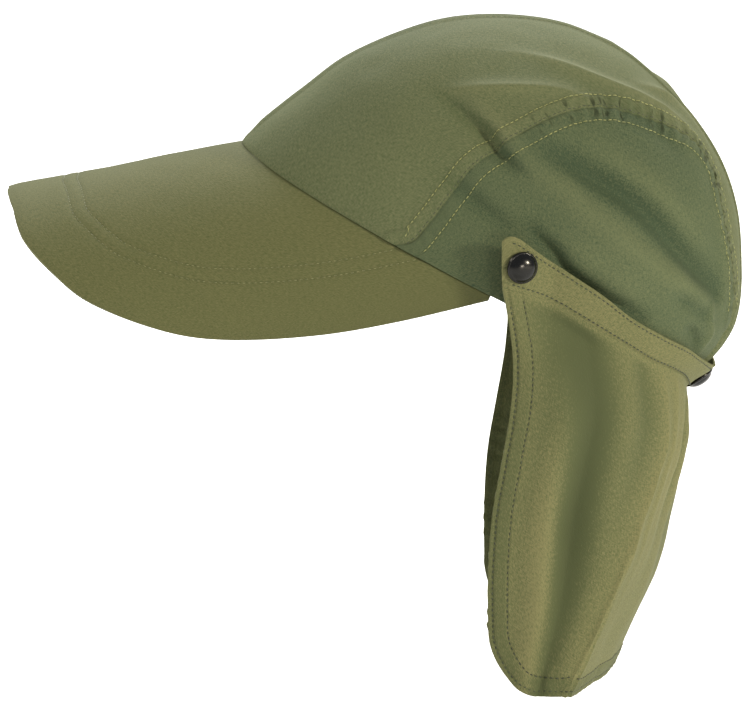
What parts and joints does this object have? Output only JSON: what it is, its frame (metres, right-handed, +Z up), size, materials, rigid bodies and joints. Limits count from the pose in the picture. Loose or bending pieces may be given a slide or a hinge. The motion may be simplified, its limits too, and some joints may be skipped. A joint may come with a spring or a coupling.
{
  "type": "legionnaire cap",
  "caption": "Sun cap with a panelled cloth crown, a long curved peak and a neck flap held on by black press studs.",
  "frame": {"origin": "centre of the oval head opening, in the mid-plane and in the plane of the rim", "axes": "+Z up, -Y the way the peak points, +X the wearer's left side"},
  "size_m": [0.1876, 0.3047, 0.2733],
  "materials": {
    "crown_cloth": "matte plain-weave microfibre cloth",
    "peak_cloth": "matte plain-weave microfibre cloth",
    "flap_cloth": "matte plain-weave microfibre cloth",
    "snap_cap": "glossy black",
    "snap_stud": "satin black"
  },
  "bodies": {
    "root": {"top_panel_left": "crown_cloth", "top_panel_right": "crown_cloth", "side_panel_left": "crown_cloth", "side_panel_right": "crown_cloth", "back_band": "crown_cloth", "peak": "peak_cloth", "neck_flap": "flap_cloth", "flap_band": "flap_cloth", "snap_cap_left": "snap_cap", "snap_cap_right": "snap_cap", "snap_cap_rear": "snap_cap", "snap_stud_left": "snap_stud", "snap_stud_right": "snap_stud", "snap_stud_rear": "snap_stud"}
  },
  "joints": []
}
